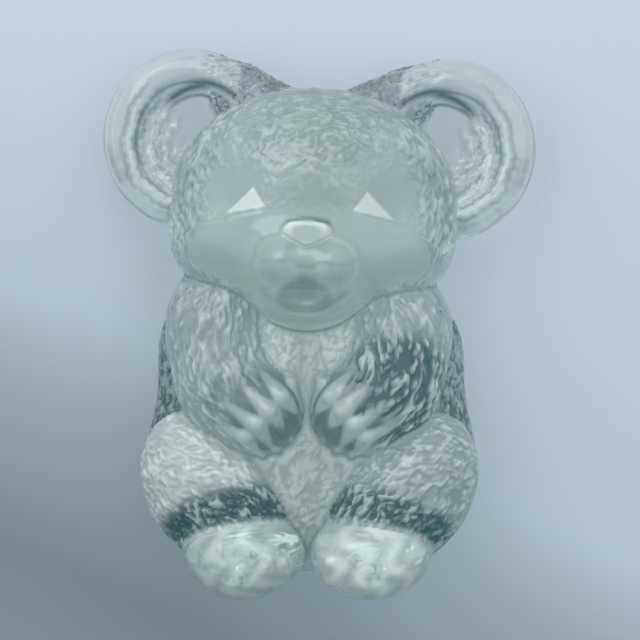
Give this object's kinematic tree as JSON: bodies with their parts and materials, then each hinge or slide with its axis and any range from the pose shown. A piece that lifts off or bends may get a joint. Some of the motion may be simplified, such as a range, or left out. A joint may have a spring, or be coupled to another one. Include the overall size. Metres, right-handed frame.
{
  "type": "crystal koala figurine",
  "caption": "Solid pressed-crystal koala figurine, seated with paws on its belly, round bowled ears and a ground flat back it can lie on.",
  "frame": {"origin": "middle of the underside of the figurine's box, on the plane of its ground flat back", "axes": "+Z out of the belly, away from the flat back it lies on; +Y from the seat to the top of the ears, the longest side; +X across the figure, to the right as seen looking down at the face"},
  "size_m": [0.098, 0.1192, 0.0477],
  "materials": {
    "crystal": "clear lead crystal, faintly green; fine pressed fur texture on head and body, fire-polished smooth on ears, muzzle, temples and soles"
  },
  "bodies": {
    "root": {"crystal_koala": "crystal"}
  },
  "joints": []
}
